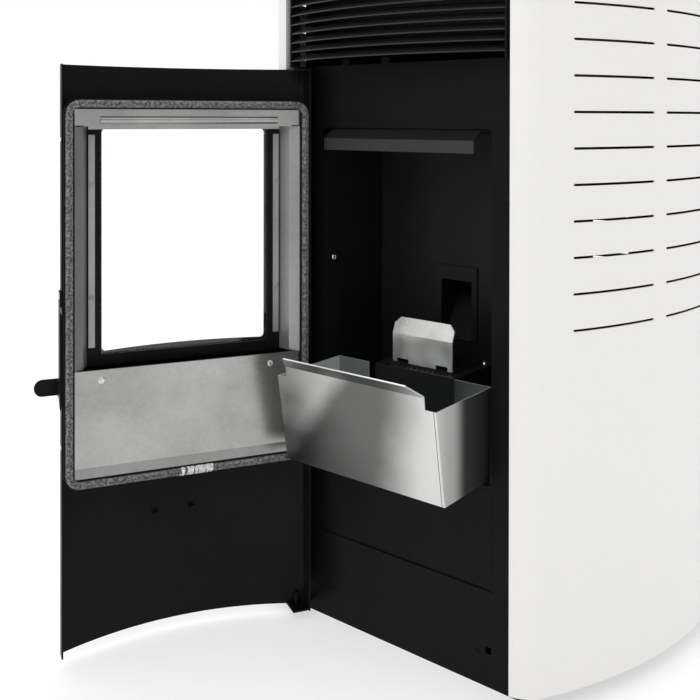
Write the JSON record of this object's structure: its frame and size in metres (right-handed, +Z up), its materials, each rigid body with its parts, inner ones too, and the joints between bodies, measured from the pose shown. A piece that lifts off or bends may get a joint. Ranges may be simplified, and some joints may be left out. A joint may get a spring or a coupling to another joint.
{
  "type": "pellet stove",
  "caption": "Free-standing pellet stove with bowed side panels, slotted sides, a hinged bowed door with a window, a pull-out ash pan, burn pot, hopper, auger, fans and rear flue outlet.",
  "frame": {"origin": "on the floor under the middle of the casing, where the base tray stands", "axes": "+X to the stove's right seen from in front, +Y towards its back, +Z up"},
  "size_m": [0.6179, 0.8856, 0.95],
  "materials": {
    "white_paint": "satin powder coat",
    "black_paint": "satin heat-proof paint",
    "soot_black": "matt heat-proof paint",
    "galvanised": "galvanised sheet",
    "stainless": "bright rolled sheet",
    "zinc_screw": "zinc plated",
    "glass_rope": "braided glass fibre",
    "fire_glass": "clear glass ceramic",
    "display": "gloss",
    "black_plastic": "fine texture",
    "grey_plastic": "fine texture",
    "cast_metal": "cast"
  },
  "bodies": {
    "casing": {"side_panel_left": "white_paint", "side_panel_right": "white_paint", "base_tray": "black_paint", "front_frame": "black_paint", "service_cover": "black_paint", "back_panel": "black_paint", "top_cover": "black_paint", "louvre_blades": "black_paint", "louvre_frame": "black_paint", "hinge_brackets": "black_paint", "control_panel": "black_paint", "firebox_shell": "soot_black", "side_liners": "soot_black", "liner_back": "soot_black", "smoke_deflector": "soot_black", "pellet_chute": "soot_black", "burn_pot_housing": "soot_black", "hopper": "galvanised", "auger_tube": "galvanised", "flue_duct": "galvanised", "smoke_fan_housing": "galvanised", "room_fan_housing": "galvanised", "latch_keeper": "galvanised", "heat_exchanger": "galvanised", "flue_spigot": "stainless", "air_intake": "stainless", "fixing_screws": "zinc_screw", "lid_pins": "zinc_screw", "igniter": "zinc_screw", "display_window": "display", "mains_inlet": "black_plastic", "control_board": "grey_plastic", "auger_motor": "cast_metal", "smoke_fan_motor": "cast_metal", "room_fan_motor": "cast_metal"},
    "door": {"door_skin": "black_paint", "door_frame": "black_paint", "rope_gasket": "glass_rope", "door_glass": "fire_glass", "glass_frame": "black_paint", "reveal_strips": "galvanised", "air_wash_plate": "galvanised", "lower_panel": "galvanised", "glass_clamps": "galvanised", "door_screws": "zinc_screw", "door_hinge_plates": "black_paint"},
    "latch": {"latch_lever": "black_paint", "latch_pin": "zinc_screw"},
    "ash_pan": {"ash_pan": "stainless"},
    "burn_pot": {"burn_pot": "soot_black", "flame_plate": "stainless"},
    "hopper_lid": {"hopper_lid": "black_paint"},
    "auger": {"auger_screw": "zinc_screw"},
    "smoke_fan": {"smoke_impeller": "cast_metal"},
    "room_fan": {"room_rotor": "cast_metal"},
    "key_down": {"key_down": "grey_plastic"},
    "key_up": {"key_up": "grey_plastic"},
    "key_menu": {"key_menu": "grey_plastic"},
    "key_power": {"key_power": "grey_plastic"},
    "mains_rocker": {"mains_rocker": "black_plastic"}
  },
  "joints": [
    {"name": "door_hinge", "type": "hinge", "parent": "casing", "child": "door", "pos_m": [-0.152, -0.254, 0.38], "axis": [0, 0, 1], "range_deg": [0, 118.5]},
    {"name": "latch_turn", "type": "hinge", "parent": "door", "child": "latch", "pos_m": [-0.29711, -0.53592, 0.462], "axis": [-0.4772, -0.8788, 0], "range_deg": [-15, 3]},
    {"name": "pan_slide", "type": "slide", "parent": "casing", "child": "ash_pan", "axis": [0, 1, 0], "range_m": [0, 0.1191]},
    {"name": "pot_lift", "type": "slide", "parent": "casing", "child": "burn_pot", "axis": [0, 0, 1], "range_m": [0, 0.06]},
    {"name": "lid_hinge", "type": "hinge", "parent": "casing", "child": "hopper_lid", "pos_m": [0, 0.227, 0.944], "axis": [-1, 0, 0], "range_deg": [0, 95]},
    {"name": "auger_spin", "type": "hinge", "parent": "casing", "child": "auger", "pos_m": [0, -0.022, 0.52], "axis": [0, 0.7071, -0.7071], "continuous": true},
    {"name": "smoke_fan_spin", "type": "hinge", "parent": "casing", "child": "smoke_fan", "pos_m": [0.096, 0.0375, 0.16], "axis": [1, 0, 0], "continuous": true},
    {"name": "room_fan_spin", "type": "hinge", "parent": "casing", "child": "room_fan", "pos_m": [-0.09, 0.033, 0.048], "axis": [1, 0, 0], "continuous": true},
    {"name": "key_down_press", "type": "slide", "parent": "casing", "child": "key_down", "axis": [0, 0, -1], "range_m": [0, 0.001], "stiffness_N_per_m": 200, "springref_m": -0.001},
    {"name": "key_up_press", "type": "slide", "parent": "casing", "child": "key_up", "axis": [0, 0, -1], "range_m": [0, 0.001], "stiffness_N_per_m": 200, "springref_m": -0.001},
    {"name": "key_menu_press", "type": "slide", "parent": "casing", "child": "key_menu", "axis": [0, 0, -1], "range_m": [0, 0.001], "stiffness_N_per_m": 200, "springref_m": -0.001},
    {"name": "key_power_press", "type": "slide", "parent": "casing", "child": "key_power", "axis": [0, 0, -1], "range_m": [0, 0.001], "stiffness_N_per_m": 200, "springref_m": -0.001},
    {"name": "mains_rocker_tilt", "type": "hinge", "parent": "casing", "child": "mains_rocker", "pos_m": [-0.151, 0.274, 0.12], "axis": [1, 0, 0], "range_deg": [-8, 8]}
  ],
  "couplings": [
    {"joint": "pan_slide", "follows": "door_hinge", "m_per_rad": 0.0575}
  ]
}
